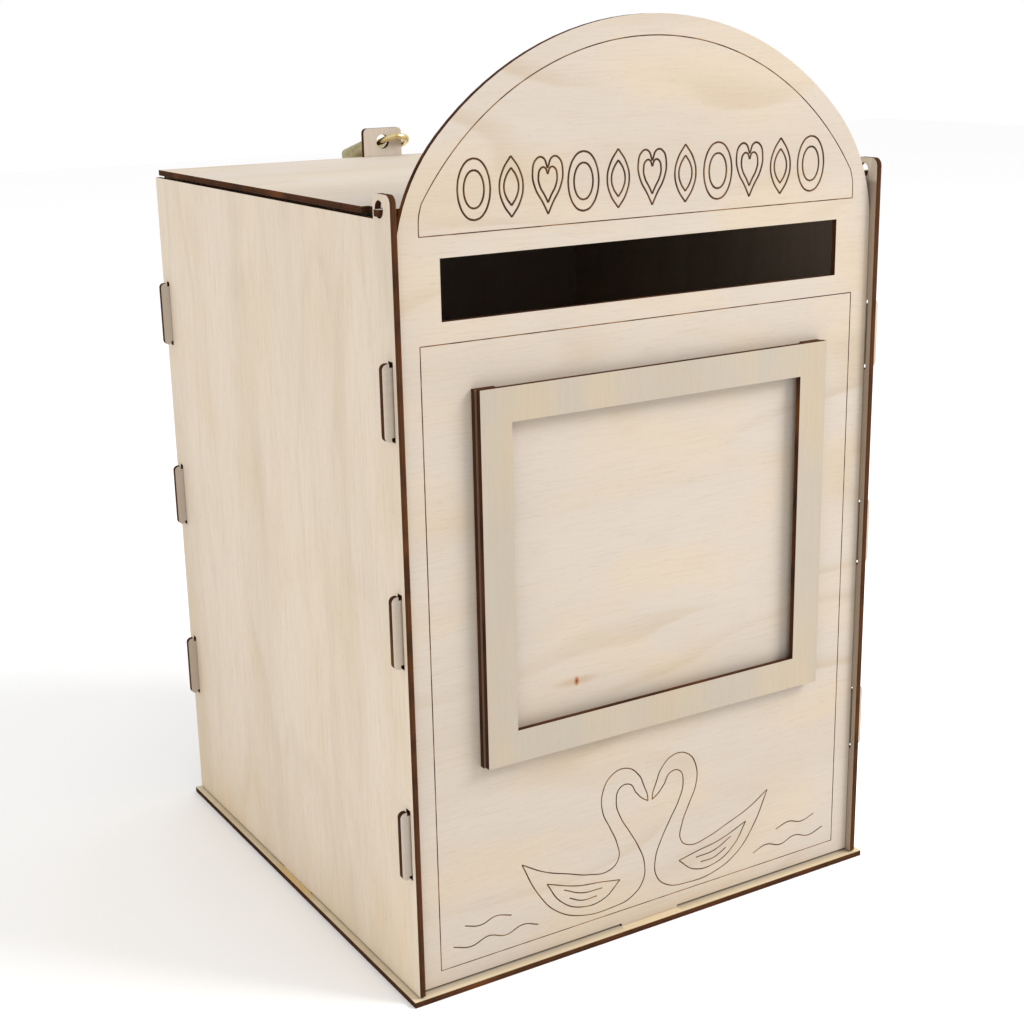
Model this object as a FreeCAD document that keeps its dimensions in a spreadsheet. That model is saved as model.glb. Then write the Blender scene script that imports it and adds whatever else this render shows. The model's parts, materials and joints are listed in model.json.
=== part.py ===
import FreeCAD, Part
import math
import os

import Sketcher

# Wedding card box of laser-cut plywood: a base, two sides, an arched front with a card slot,
# a back with a padlock tab, a lid that turns on two pegs, a two-layer photo frame and a
# small brass padlock.  +Z is up and the front faces -Y.  The origin is the middle of the
# base's underside.  All sizes are millimetres.

DIMENSIONS = [
    ("Ply", 2.7, "thickness of every plywood piece"),
    ("Width", 250.0, "outside of one side panel to the outside of the other"),
    ("Depth", 257.0, "front edge to back edge of a side panel"),
    ("SideTop", 338.6, "top edge of a side panel"),
    ("SideLift", 0.7, "gap between a side panel and the base"),
    ("EarTop", 348.5, "top of the ear that carries a lid peg"),
    ("EarDepth", 14.5, "front to back size of the ear"),
    ("EarRound", 3.6, "radius of the ear's top corners"),
    ("BaseSide", 3.2, "base beyond each side panel"),
    ("BaseEnd", 1.4, "base beyond the side panels' front and back edges"),
    ("FrontRecess", 3.4, "front panel's face behind the sides' front edges"),
    ("BackRecess", 5.1, "back panel's face ahead of the sides' back edges"),
    ("PanelLift", 1.3, "gap between the front or back panel and the base"),
    ("ArchSpring", 316.7, "height where the arch starts"),
    ("ArchRise", 96.4, "arch's height above its spring"),
    ("CrownRadius", 139.5, "radius of the arch's middle"),
    ("TabPitch", 96.2, "spacing of the tabs up each side"),
    ("FrontTabs", 75.2, "centre of the front panel's lowest tabs"),
    ("BackTabs", 77.9, "centre of the back panel's lowest tabs"),
    ("HeadHalf", 15.7, "half the height of a tab's head"),
    ("NeckHalf", 14.1, "half the height of a tab's neck"),
    ("NeckReach", 1.2, "neck outside the side panel"),
    ("HeadReach", 4.4, "tab outside the side panel"),
    ("HeadRound", 2.3, "radius of a tab's outer corners"),
    ("SlotHalf", 16.3, "half the height of a tab's slot"),
    ("SlotFront", 0.8, "play between a tab and the front of its slot"),
    ("SlotBack", 0.3, "play between a tab and the back of its slot"),
    ("FootHalf", 16.0, "half the length of a tab in the base"),
    ("FootPlay", 0.4, "play at the ends of a base slot"),
    ("FootSide", 0.15, "play at the sides of a base slot"),
    ("CardHalf", 102.2, "half the length of the card slot"),
    ("CardLow", 297.2, "lower edge of the card slot"),
    ("CardHigh", 322.4, "upper edge of the card slot"),
    ("LidUnder", 339.9, "underside of the closed lid"),
    ("LidGap", 0.5, "lid's front edge behind the front panel"),
    ("LidStep", 24.2, "length of the lid's narrow front part, from the sides' front edges"),
    ("LidNarrow", 0.5, "play between the lid's narrow part and a side panel"),
    ("PegHalf", 2.0, "half the width of a lid peg"),
    ("PegReach", 1.3, "peg outside the side panel"),
    ("HingeBack", 9.2, "lid hinge's axis behind the sides' front edges"),
    ("HingeHole", 3.5, "radius of the hinge hole"),
    ("HaspHalf", 11.2, "half the width of the padlock tab"),
    ("HaspTop", 357.4, "top of the padlock tab"),
    ("HaspRound", 2.5, "radius of the padlock tab's corners"),
    ("HaspHoleHeight", 350.3, "centre of the padlock hole"),
    ("HaspHole", 3.8, "radius of the padlock hole"),
    ("HaspPlay", 0.5, "play around the padlock tab in the lid"),
    ("RestGap", 0.1, "play between the closed lid and the back panel"),
    ("RingShift", 2.6, "photo frame's ring to the right of the middle"),
    ("SpacerShift", 1.6, "photo frame's spacer to the right of the middle"),
    ("RingHalf", 91.3, "half the width of the photo frame"),
    ("RingLow", 102.9, "bottom edge of the photo frame"),
    ("RingHigh", 268.8, "top edge of the photo frame"),
    ("WindowHalf", 76.4, "half the width of the frame's window"),
    ("WindowLow", 117.6, "bottom edge of the window"),
    ("WindowHigh", 253.9, "top edge of the window"),
    ("SpacerBar", 10.3, "width of the spacer's bars"),
    ("CaseWide", 22.0, "padlock case across the two shackle legs"),
    ("CaseDeep", 10.0, "padlock case's thickness"),
    ("CaseTall", 17.6, "padlock case's height"),
    ("LegHalf", 6.7, "half the distance between the shackle's legs"),
    ("Wire", 1.65, "radius of the shackle's wire"),
    ("LegRise", 10.5, "straight leg above the case"),
    ("HaspLeg", 3.4, "distance along the leg from the shackle's bend to the padlock tab"),
    ("LegBore", 1.85, "radius of the leg holes in the case"),
    ("ToeEnd", 5.9, "depth of the free leg in the case"),
    ("HeelEnd", 15.0, "depth of the captive leg in the case"),
    ("NeckTop", 4.5, "depth where the captive leg's groove starts"),
    ("NeckEnd", 13.0, "depth where the captive leg's groove ends"),
    ("NeckRadius", 1.05, "radius of the captive leg in its groove"),
    ("NotchDepth", 1.2, "depth of the bolt's notch in the free leg"),
    ("BoltTop", 2.4, "depth of the bolt's upper face"),
    ("BoltEnd", 5.2, "depth of the bolt's lower face"),
    ("BoltHalf", 1.9, "half the bolt's width"),
    ("BoltThrow", 1.3, "bolt's travel"),
    ("PlugRadius", 2.6, "radius of the key plug"),
    ("PlugTop", 6.6, "depth of the key plug's inner end"),
    ("CamOff", 0.65, "cam pin's offset from the plug's axis, both ways"),
    ("CamRadius", 0.5, "radius of the cam pin"),
    ("PinRadius", 0.7, "radius of the pins in the key plug"),
    ("PinPitch", 2.8, "spacing of the pins"),
    ("PinFirst", 9.4, "depth of the first pin"),
    ("Play", 0.12, "running play inside the padlock"),
    ("StopDepth", 5.8, "depth of the pin that keeps the captive leg in"),
    ("StopRadius", 0.6, "radius of that pin"),
    ("StopInset", 0.1, "that pin's ends below the case's faces"),
    ("ToeRoom", 0.4, "depth left in the hole past the free leg"),
    ("HeelRoom", 2.0, "depth left in the hole past the captive leg, for its spring"),
    ("HeelSpring", 1.8, "length of the captive leg's spring"),
    ("HeelPlay", 0.1, "play round that spring"),
    ("HeelWall", 0.5, "thickness of that spring's coil"),
    ("ChannelPast", 3.4, "bolt channel's reach past the plug's axis"),
    ("BoltPast", 1.9, "bolt's tail past the plug's axis"),
    ("BoltGap", 0.05, "gap from the drawn-back bolt to the free leg's hole"),
    ("CamPlay", 0.1, "play round the cam pin in the bolt"),
    ("CamSlotLong", 1.7, "length of the bolt's slot for the cam pin"),
    ("CamSlotDeep", 1.8, "depth of that slot"),
    ("CamStart", 3.6, "depth of the cam pin's inner end"),
    ("PlugInset", 0.3, "plug's face below the case's bottom"),
    ("KeywayWide", 3.6, "width of the keyway"),
    ("KeywaySide", 1.4, "keyway's reach on the pins' side of the plug's axis"),
    ("KeywayThick", 0.9, "thickness of the keyway"),
    ("KeywayPast", 1.0, "keyway's reach past the first pin"),
    ("ChamberStart", 1.0, "inner end of a pin chamber from the plug's axis"),
    ("KeyPinLong", 1.75, "length of a key pin"),
    ("DriverEnd", 5.0, "outer end of a driver pin from the plug's axis"),
    ("DriverLong", 2.3, "length of a driver pin"),
    ("SpringEnd", 1.7, "outer end of a pin spring inside the case's side"),
    ("SpringPlay", 0.1, "gap from a pin spring to its driver pin"),
    ("SpringCore", 0.4, "inner radius of a pin spring"),
    ("CapInset", 0.05, "chamber plug's face below the case's side"),
    ("CapLong", 1.5, "length of a chamber plug"),
]

# How the padlock hangs in its hole, in degrees: turned to the left, drooping and rolled.
LOCK_TURN = 30.0
LOCK_DROOP = 22.0
LOCK_ROLL = -16.0
PIN_COUNT = 3
TAB_COUNT = 3

SHEET = "Dims"


def make_sheet(doc):
    """Writes the driving dimensions into a spreadsheet, one alias per row."""
    sheet = doc.addObject("Spreadsheet::Sheet", SHEET)
    for row, (alias, value, note) in enumerate(DIMENSIONS, start=1):
        sheet.set("A%d" % row, alias)
        sheet.set("B%d" % row, str(value))
        sheet.setAlias("B%d" % row, alias)
        sheet.set("C%d" % row, note)
    doc.recompute()
    return sheet


def full(text):
    """Turns a formula of bare aliases, such as 'Width/2 - Ply', into one on the sheet."""
    for alias in sorted((name for name, _, _ in DIMENSIONS), key=len, reverse=True):
        text = replace_word(text, alias, "%s.%s" % (SHEET, alias))
    return text


def replace_word(text, word, new):
    """Replaces whole words only, so that 'Ply' is left alone inside 'Plywood'."""
    out = []
    start = 0
    while True:
        at = text.find(word, start)
        if at < 0:
            out.append(text[start:])
            return "".join(out)
        end = at + len(word)
        before = text[at - 1] if at else " "
        after = text[end] if end < len(text) else " "
        whole = not (before.isalnum() or before in "._") and not (after.isalnum() or after in "_")
        out.append(text[start:at])
        out.append(new if whole else word)
        start = end


def number(sheet, text):
    """The present value of a formula."""
    value = sheet.evalExpression(full(text))
    return float(getattr(value, "Value", value))


# ---------------------------------------------------------------- sketches and bodies

def new_body(doc, label):
    """An empty PartDesign body."""
    body = doc.addObject("PartDesign::Body", label)
    body.Label = label
    return body


def origin_plane(body, role):
    """One of the body's own origin planes, such as XY_Plane."""
    return next(item for item in body.Origin.OriginFeatures if item.Role == role)


def outline(body, name, role, offset, loops):
    """A sketch on an origin plane of the body, moved along its normal by a formula.

    Each loop is a list of corners (x, y) or (x, y, radius), all formulas.  A radius makes the
    stretch from that corner to the next one a counter-clockwise arc."""
    sheet = body.Document.getObject(SHEET)
    sketch = body.newObject("Sketcher::SketchObject", name)
    sketch.AttachmentSupport = [(origin_plane(body, role), "")]
    sketch.MapMode = "FlatFace"
    sketch.setExpression("AttachmentOffset.Base.z", full(offset))
    for loop in loops:
        add_loop(sketch, sheet, loop)
    return sketch


def add_loop(sketch, sheet, loop):
    """Draws one closed loop of lines and arcs and ties its corners to their formulas."""
    places = [FreeCAD.Vector(number(sheet, item[0]), number(sheet, item[1]), 0) for item in loop]
    first = sketch.GeometryCount
    ends = []
    for index, item in enumerate(loop):
        start = places[index]
        end = places[(index + 1) % len(loop)]
        if len(item) == 3:
            shape = arc_between(start, end, number(sheet, item[2]))
        else:
            shape = Part.LineSegment(start, end)
        sketch.addGeometry(shape, False)
        ends.append(first + index)
    for index, item in enumerate(loop):
        here = ends[index]
        following = ends[(index + 1) % len(loop)]
        sketch.addConstraint(Sketcher.Constraint("Coincident", here, 2, following, 1))
    for index, item in enumerate(loop):
        here = ends[index]
        bind(sketch, Sketcher.Constraint("DistanceX", -1, 1, here, 1, places[index].x), item[0])
        bind(sketch, Sketcher.Constraint("DistanceY", -1, 1, here, 1, places[index].y), item[1])
        if len(item) == 3:
            bind(sketch, Sketcher.Constraint("Radius", here, number(sheet, item[2])), item[2])


def arc_between(start, end, radius):
    """The shorter counter-clockwise arc from one point to another."""
    half = (end - start) * 0.5
    across = FreeCAD.Vector(-half.y, half.x, 0).normalize()
    centre = start + half + across * math.sqrt(max(radius * radius - half.Length ** 2, 0.0))
    first = math.atan2(start.y - centre.y, start.x - centre.x)
    last = math.atan2(end.y - centre.y, end.x - centre.x)
    circle = Part.Circle(centre, FreeCAD.Vector(0, 0, 1), radius)
    return Part.ArcOfCircle(circle, first, last)


def bind(sketch, constraint, formula):
    """Adds a dimension that follows a formula."""
    index = sketch.addConstraint(constraint)
    sketch.setExpression("Constraints[%d]" % index, full(formula))


def add_circle(sketch, x, y, radius):
    """A full circle at (x, y), all formulas."""
    sheet = sketch.Document.getObject(SHEET)
    centre = FreeCAD.Vector(number(sheet, x), number(sheet, y), 0)
    circle = Part.Circle(centre, FreeCAD.Vector(0, 0, 1), number(sheet, radius))
    index = sketch.addGeometry(circle, False)
    bind(sketch, Sketcher.Constraint("DistanceX", -1, 1, index, 3, centre.x), x)
    bind(sketch, Sketcher.Constraint("DistanceY", -1, 1, index, 3, centre.y), y)
    bind(sketch, Sketcher.Constraint("Radius", index, number(sheet, radius)), radius)


def pad(body, sketch, length="Ply", back=False):
    """Gives a sketch its thickness."""
    feature = body.newObject("PartDesign::Pad", sketch.Name + "Pad")
    feature.Profile = sketch
    feature.Reversed = back
    feature.setExpression("Length", full(length))
    return settle(body, feature)


def settle(body, feature):
    """Makes a feature the body's tip, with the body's own shape brought up to date."""
    body.Document.recompute()
    body.Tip = feature
    body.Document.recompute()
    return feature


def pocket(body, sketch):
    """Cuts the sketch through the whole body both ways, and makes sure that it cuts."""
    before = body.Shape.Volume
    feature = body.newObject("PartDesign::Pocket", sketch.Name + "Pocket")
    feature.Profile = sketch
    feature.Type = "ThroughAll"
    feature.Midplane = True
    settle(body, feature)
    if body.Shape.Volume >= before - 0.01:
        raise RuntimeError("%s cuts nothing" % feature.Name)
    return feature


def repeat(body, feature, sketch, axis, length, count):
    """Repeats a feature along an axis of its sketch; length is the whole span's formula."""
    pattern = body.newObject("PartDesign::LinearPattern", feature.Name + "Row")
    pattern.Originals = [feature]
    pattern.Direction = (sketch, [axis])
    pattern.setExpression("Length", full(length))
    pattern.Occurrences = count
    return settle(body, pattern)


def rectangle(left, low, right, high):
    """The four corners of a rectangle."""
    return [(left, low), (right, low), (right, high), (left, high)]


# ---------------------------------------------------------------- plywood pieces

FRONT_EDGE = "(0 - Depth/2)"
BACK_EDGE = "(Depth/2)"
INSIDE = "(Width/2 - Ply)"
FRONT_FACE = "(FrontRecess - Depth/2)"
BACK_FACE = "(Depth/2 - BackRecess)"
LID_TOP = "(LidUnder + Ply)"
HINGE_Y = "(HingeBack - Depth/2)"
PANEL_BOTTOM = "(Ply + PanelLift)"


def side_tabs(sign, lowest):
    """One tab of a front or back panel: a neck through the side panel and a rounded head."""
    root = "(%s1*(Width/2 - Ply))" % sign
    neck = "(%s1*(Width/2 + NeckReach))" % sign
    shoulder = "(%s1*(Width/2 + HeadReach - HeadRound))" % sign
    tip = "(%s1*(Width/2 + HeadReach))" % sign
    low = "(%s - NeckHalf)" % lowest
    high = "(%s + NeckHalf)" % lowest
    bottom = "(%s - HeadHalf)" % lowest
    top = "(%s + HeadHalf)" % lowest
    if sign == "":
        return [(root, low), (neck, low), (neck, bottom), (shoulder, bottom, "HeadRound"),
                (tip, bottom + " + HeadRound"), (tip, top + " - HeadRound", "HeadRound"),
                (shoulder, top), (neck, top), (neck, high), (root, high)]
    return [(root, low), (root, high), (neck, high), (neck, top), (shoulder, top, "HeadRound"),
            (tip, top + " - HeadRound"), (tip, bottom + " + HeadRound", "HeadRound"),
            (shoulder, bottom), (neck, bottom), (neck, low)]


def add_side_tabs(body, offset, lowest):
    """The tabs up both edges of a front or back panel."""
    both = [side_tabs("", lowest), side_tabs("-", lowest)]
    sketch = outline(body, body.Label + "_tabs", "XZ_Plane", offset, both)
    feature = pad(body, sketch)
    repeat(body, feature, sketch, "V_Axis", "(%d*TabPitch)" % (TAB_COUNT - 1), TAB_COUNT)


def foot(bottom):
    """The corners of a panel's bottom edge, from left to right, with its tab into the base."""
    return [("0 - " + INSIDE, bottom), ("0 - FootHalf", bottom), ("0 - FootHalf", "0"),
            ("FootHalf", "0"), ("FootHalf", bottom), (INSIDE, bottom)]


def base_panel(doc):
    """The base, with a slot for each panel's foot."""
    body = new_body(doc, "base_panel")
    half_x = "(Width/2 + BaseSide)"
    half_y = "(Depth/2 + BaseEnd)"
    plate = outline(body, "base_outline", "XY_Plane", "0",
                    [rectangle("0 - " + half_x, "0 - " + half_y, half_x, half_y)])
    pad(body, plate)
    reach = "(FootHalf + FootPlay)"
    outer = "(Width/2 + FootSide)"
    inner = "(%s - FootSide)" % INSIDE
    slots = [
        rectangle(inner, "0 - " + reach, outer, reach),
        rectangle("0 - " + outer, "0 - " + reach, "0 - " + inner, reach),
        rectangle("0 - " + reach, FRONT_FACE + " - FootSide", reach, FRONT_FACE + " + Ply + FootSide"),
        rectangle("0 - " + reach, BACK_FACE + " - Ply - FootSide", reach, BACK_FACE + " + FootSide"),
    ]
    pocket(body, outline(body, "base_slots", "XY_Plane", "0", slots))
    return body


def side_panel(doc, label, offset):
    """A side with its ear at the front top, tab slots, hinge hole and a tab into the base."""
    body = new_body(doc, label)
    bottom = "(Ply + SideLift)"
    ear_back = "(EarDepth - Depth/2)"
    corners = [
        (FRONT_EDGE, bottom), ("0 - FootHalf", bottom), ("0 - FootHalf", "0"),
        ("FootHalf", "0"), ("FootHalf", bottom), (BACK_EDGE, bottom),
        (BACK_EDGE, "SideTop"), (ear_back, "SideTop"),
        (ear_back, "EarTop - EarRound", "EarRound"), (ear_back + " - EarRound", "EarTop"),
        (FRONT_EDGE + " + EarRound", "EarTop", "EarRound"), (FRONT_EDGE, "EarTop - EarRound"),
    ]
    pad(body, outline(body, label + "_outline", "YZ_Plane", offset, [corners]))
    hole = outline(body, label + "_hole", "YZ_Plane", "0", [])
    add_circle(hole, HINGE_Y, LID_TOP, "HingeHole")
    pocket(body, hole)
    slots = [
        rectangle(FRONT_FACE + " - SlotFront", "FrontTabs - SlotHalf",
                  FRONT_FACE + " + Ply + SlotBack", "FrontTabs + SlotHalf"),
        rectangle(BACK_FACE + " - Ply - SlotBack", "BackTabs - SlotHalf",
                  BACK_FACE + " + SlotBack", "BackTabs + SlotHalf"),
    ]
    sketch = outline(body, label + "_slots", "YZ_Plane", "0", slots)
    cut = pocket(body, sketch)
    repeat(body, cut, sketch, "V_Axis", "(%d*TabPitch)" % (TAB_COUNT - 1), TAB_COUNT)
    return body


def front_panel(doc):
    """The arched front: a three-centred arch on a rectangle, with the card slot."""
    body = new_body(doc, "front_panel")
    half = INSIDE
    drop = "(ArchRise - CrownRadius)"
    haunch = "((CrownRadius^2 - %s^2 - %s^2)/(2*(CrownRadius - %s)))" % (half, drop, half)
    centre = "(%s - %s)" % (half, haunch)
    reach = "(CrownRadius/(CrownRadius - %s))" % haunch
    join_x = "(%s*%s)" % (centre, reach)
    join_z = "(ArchSpring + %s - %s*%s)" % (drop, drop, reach)
    corners = foot(PANEL_BOTTOM) + [
        (half, "ArchSpring", haunch), (join_x, join_z, "CrownRadius"),
        ("0 - " + join_x, join_z, haunch), ("0 - " + half, "ArchSpring"),
    ]
    offset = "0 - %s - Ply" % FRONT_FACE
    pad(body, outline(body, "front_outline", "XZ_Plane", offset, [corners]))
    add_side_tabs(body, offset, "FrontTabs")
    pocket(body, outline(body, "card_slot", "XZ_Plane", "0",
                         [rectangle("0 - CardHalf", "CardLow", "CardHalf", "CardHigh")]))
    return body


def back_panel(doc):
    """The back: a rectangle whose top carries the padlock tab."""
    body = new_body(doc, "back_panel")
    top = "(LidUnder - RestGap)"
    corners = foot(PANEL_BOTTOM) + [
        (INSIDE, top), ("HaspHalf", top), ("HaspHalf", "HaspTop - HaspRound", "HaspRound"),
        ("HaspHalf - HaspRound", "HaspTop"), ("HaspRound - HaspHalf", "HaspTop", "HaspRound"),
        ("0 - HaspHalf", "HaspTop - HaspRound"), ("0 - HaspHalf", top), ("0 - " + INSIDE, top),
    ]
    offset = "0 - " + BACK_FACE
    pad(body, outline(body, "back_outline", "XZ_Plane", offset, [corners]))
    add_side_tabs(body, offset, "BackTabs")
    hole = outline(body, "padlock_hole", "XZ_Plane", offset, [])
    add_circle(hole, "0", "HaspHoleHeight", "HaspHole")
    pocket(body, hole)
    return body


def lid_panel(doc):
    """The lid: wide over the side panels, narrow between the ears, with a peg each side."""
    body = new_body(doc, "lid_panel")
    front = "(%s + Ply + LidGap)" % FRONT_FACE
    step = "(LidStep - Depth/2)"
    narrow = "(%s - LidNarrow)" % INSIDE
    peg = "(Width/2 + PegReach)"
    notch = "(HaspHalf + HaspPlay)"
    notch_y = "(%s - Ply - HaspPlay)" % BACK_FACE
    right = [
        (narrow, front), (narrow, HINGE_Y + " - PegHalf"), (peg, HINGE_Y + " - PegHalf"),
        (peg, HINGE_Y + " + PegHalf"), (narrow, HINGE_Y + " + PegHalf"), (narrow, step),
        ("(Width/2)", step), ("(Width/2)", BACK_FACE), (notch, BACK_FACE), (notch, notch_y),
    ]
    left = [("0 - " + x, y) for x, y in reversed(right)]
    pad(body, outline(body, "lid_outline", "XY_Plane", "LidUnder", [right + left]))
    return body


def photo_frame_ring(doc):
    """The visible front layer of the photo frame."""
    body = new_body(doc, "photo_frame_ring")
    ring = rectangle("RingShift - RingHalf", "RingLow", "RingShift + RingHalf", "RingHigh")
    window = rectangle("RingShift - WindowHalf", "WindowLow", "RingShift + WindowHalf", "WindowHigh")
    offset = "Ply - " + FRONT_FACE
    pad(body, outline(body, "ring_outline", "XZ_Plane", offset, [ring]))
    pocket(body, outline(body, "ring_window", "XZ_Plane", "0", [window]))
    return body


def photo_frame_spacer(doc):
    """The U-shaped layer behind the ring, open at the top so that a photo slides in."""
    body = new_body(doc, "photo_frame_spacer")
    corners = [
        ("SpacerShift - RingHalf", "RingLow"), ("SpacerShift + RingHalf", "RingLow"),
        ("SpacerShift + RingHalf", "RingHigh"), ("SpacerShift + RingHalf - SpacerBar", "RingHigh"),
        ("SpacerShift + RingHalf - SpacerBar", "RingLow + SpacerBar"),
        ("SpacerShift - RingHalf + SpacerBar", "RingLow + SpacerBar"),
        ("SpacerShift - RingHalf + SpacerBar", "RingHigh"), ("SpacerShift - RingHalf", "RingHigh"),
    ]
    pad(body, outline(body, "spacer_outline", "XZ_Plane", "0 - " + FRONT_FACE, [corners]))
    return body


# ---------------------------------------------------------------- padlock
# The padlock is drawn upright about its own origin, the middle of the case's top: X runs
# from the free leg to the captive leg and Z towards the shackle's bend.

ALONG_X = (FreeCAD.Vector(0, 1, 0), 90)
ALONG_Y = (FreeCAD.Vector(1, 0, 0), -90)
ALONG_Z = (FreeCAD.Vector(0, 0, 1), 0)
STANDING = (FreeCAD.Vector(1, 0, 0), 90)


def place(item, x, y, z, turn=ALONG_Z):
    """Puts an item at formulas x, y and z, turned as given."""
    item.Placement = FreeCAD.Placement(FreeCAD.Vector(0, 0, 0), FreeCAD.Rotation(*turn))
    item.setExpression("Placement.Base.x", full(x))
    item.setExpression("Placement.Base.y", full(y))
    item.setExpression("Placement.Base.z", full(z))
    return item


def block(doc, name, size, corner):
    """A box of three formulas' size from its lowest corner."""
    item = doc.addObject("Part::Box", name)
    for key, formula in zip(("Length", "Width", "Height"), size):
        item.setExpression(key, full(formula))
    return place(item, *corner)


def rod(doc, name, radius, height, start, turn=ALONG_Z):
    """A cylinder from the middle of its first end."""
    item = doc.addObject("Part::Cylinder", name)
    item.setExpression("Radius", full(radius))
    item.setExpression("Height", full(height))
    return place(item, *start, turn=turn)


def join(doc, name, shapes):
    """Several shapes as one."""
    item = doc.addObject("Part::MultiFuse", name)
    item.Shapes = shapes
    item.Refine = True
    return item


def carve(doc, name, base, tools):
    """A shape with every tool cut away."""
    item = doc.addObject("Part::Cut", name)
    item.Base = base
    item.Tool = tools[0] if len(tools) == 1 else join(doc, name + "_tools", tools)
    item.Refine = True
    return item


def pin_depth(index):
    """The depth of one pin below the case's top, as a formula."""
    return "(PinFirst + %d*PinPitch)" % index


def lock_case(doc):
    """The brass case, with rounded sides, leg holes, plug bore, pin rows and bolt channel."""
    flat = "(CaseWide/2 - CaseDeep/2)"
    shell = join(doc, "case_shell", [
        block(doc, "case_middle", ("2*" + flat, "CaseDeep", "CaseTall"),
              ("0 - " + flat, "0 - CaseDeep/2", "0 - CaseTall")),
        rod(doc, "case_left", "CaseDeep/2", "CaseTall", ("0 - " + flat, "0", "0 - CaseTall")),
        rod(doc, "case_right", "CaseDeep/2", "CaseTall", (flat, "0", "0 - CaseTall")),
    ])
    half = "(BoltHalf + Play)"
    tools = [
        rod(doc, "toe_bore", "LegBore", "ToeEnd + ToeRoom", ("0 - LegHalf", "0", "0 - ToeEnd - ToeRoom")),
        rod(doc, "heel_bore", "LegBore", "HeelEnd + HeelRoom", ("LegHalf", "0", "0 - HeelEnd - HeelRoom")),
        block(doc, "bolt_channel", ("LegHalf + ChannelPast", "2*" + half, "BoltEnd - BoltTop + 2*Play"),
              ("0 - LegHalf", "0 - " + half, "0 - BoltEnd - Play")),
        rod(doc, "plug_bore", "PlugRadius + Play", "CaseTall - BoltEnd", ("0", "0", "0 - CaseTall")),
        rod(doc, "stop_bore", "StopRadius", "CaseDeep",
            ("LegHalf - NeckRadius - StopRadius - Play", "0 - CaseDeep/2", "0 - StopDepth"), ALONG_Y),
    ]
    for index in range(PIN_COUNT):
        tools.append(rod(doc, "chamber_%d" % index, "PinRadius + Play/2", "CaseWide/2 - ChamberStart",
                         ("0 - CaseWide/2", "0", "0 - " + pin_depth(index)), ALONG_X))
    return carve(doc, "lock_case", shell, tools)


def shackle(doc):
    """The bent wire: a free leg with the bolt's notch and a captive leg with a groove."""
    bend = doc.addObject("Part::Torus", "bend_ring")
    bend.setExpression("Radius1", full("LegHalf"))
    bend.setExpression("Radius2", full("Wire"))
    bend.Angle3 = 180
    place(bend, "0", "0", "LegRise", STANDING)
    toe = rod(doc, "toe_rod", "Wire", "LegRise + ToeEnd", ("0 - LegHalf", "0", "0 - ToeEnd"))
    notch = block(doc, "toe_notch", ("2*Wire", "4*Wire", "BoltEnd - BoltTop + 2*Play"),
                  ("0 - LegHalf + Wire - NotchDepth", "0 - 2*Wire", "0 - BoltEnd - Play"))
    free_leg = carve(doc, "toe_leg", toe, [notch])
    captive = [
        rod(doc, "heel_rod", "Wire", "LegRise + NeckTop", ("LegHalf", "0", "0 - NeckTop")),
        rod(doc, "heel_neck", "NeckRadius", "NeckEnd - NeckTop", ("LegHalf", "0", "0 - NeckEnd")),
        rod(doc, "heel_bead", "Wire", "HeelEnd - NeckEnd", ("LegHalf", "0", "0 - HeelEnd")),
    ]
    return join(doc, "shackle", [bend, free_leg] + captive)


def key_plug(doc):
    """The turning plug, with its keyway, pin holes and the cam pin that moves the bolt."""
    barrel = join(doc, "plug_barrel", [
        rod(doc, "plug_rod", "PlugRadius", "CaseTall - PlugTop - PlugInset",
            ("0", "0", "PlugInset - CaseTall")),
        rod(doc, "cam_pin", "CamRadius", "PlugTop - CamStart", ("CamOff", "CamOff", "0 - PlugTop")),
    ])
    tools = [block(doc, "keyway", ("KeywayWide", "KeywayThick", "CaseTall - PinFirst + KeywayPast"),
                   ("0 - KeywaySide", "0 - KeywayThick/2", "0 - CaseTall"))]
    for index in range(PIN_COUNT):
        tools.append(rod(doc, "plug_hole_%d" % index, "PinRadius + Play/2", "PlugRadius",
                         ("0 - PlugRadius", "0", "0 - " + pin_depth(index)), ALONG_X))
    return carve(doc, "key_plug", barrel, tools)


def locking_bolt(doc):
    """The sliding bolt, drawn back clear of the free leg, with a slot for the cam pin."""
    nose = "(LegHalf - LegBore - BoltGap)"
    body = block(doc, "bolt_bar", (nose + " + BoltPast", "2*BoltHalf", "BoltEnd - BoltTop"),
                 ("0 - " + nose, "0 - BoltHalf", "0 - BoltEnd"))
    slot = block(doc, "bolt_slot", ("2*CamRadius + 2*CamPlay", "CamSlotLong", "CamSlotDeep"),
                 ("CamOff - CamRadius - CamPlay", "0 - CamPlay", "0 - BoltEnd"))
    return carve(doc, "locking_bolt", body, [slot])


def pin_row(doc, label, radius, start, length, hollow=None):
    """One kind of piece in every pin chamber, as separate solids of one node."""
    solids = []
    for index in range(PIN_COUNT):
        at = (start, "0", "0 - " + pin_depth(index))
        piece = rod(doc, "%s_%d" % (label, index), radius, length, at, ALONG_X)
        if hollow:
            core = rod(doc, "%s_core_%d" % (label, index), hollow, length, at, ALONG_X)
            piece = carve(doc, "%s_tube_%d" % (label, index), piece, [core])
        solids.append(piece)
    group = doc.addObject("Part::Compound", label)
    group.Links = solids
    return group


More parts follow.
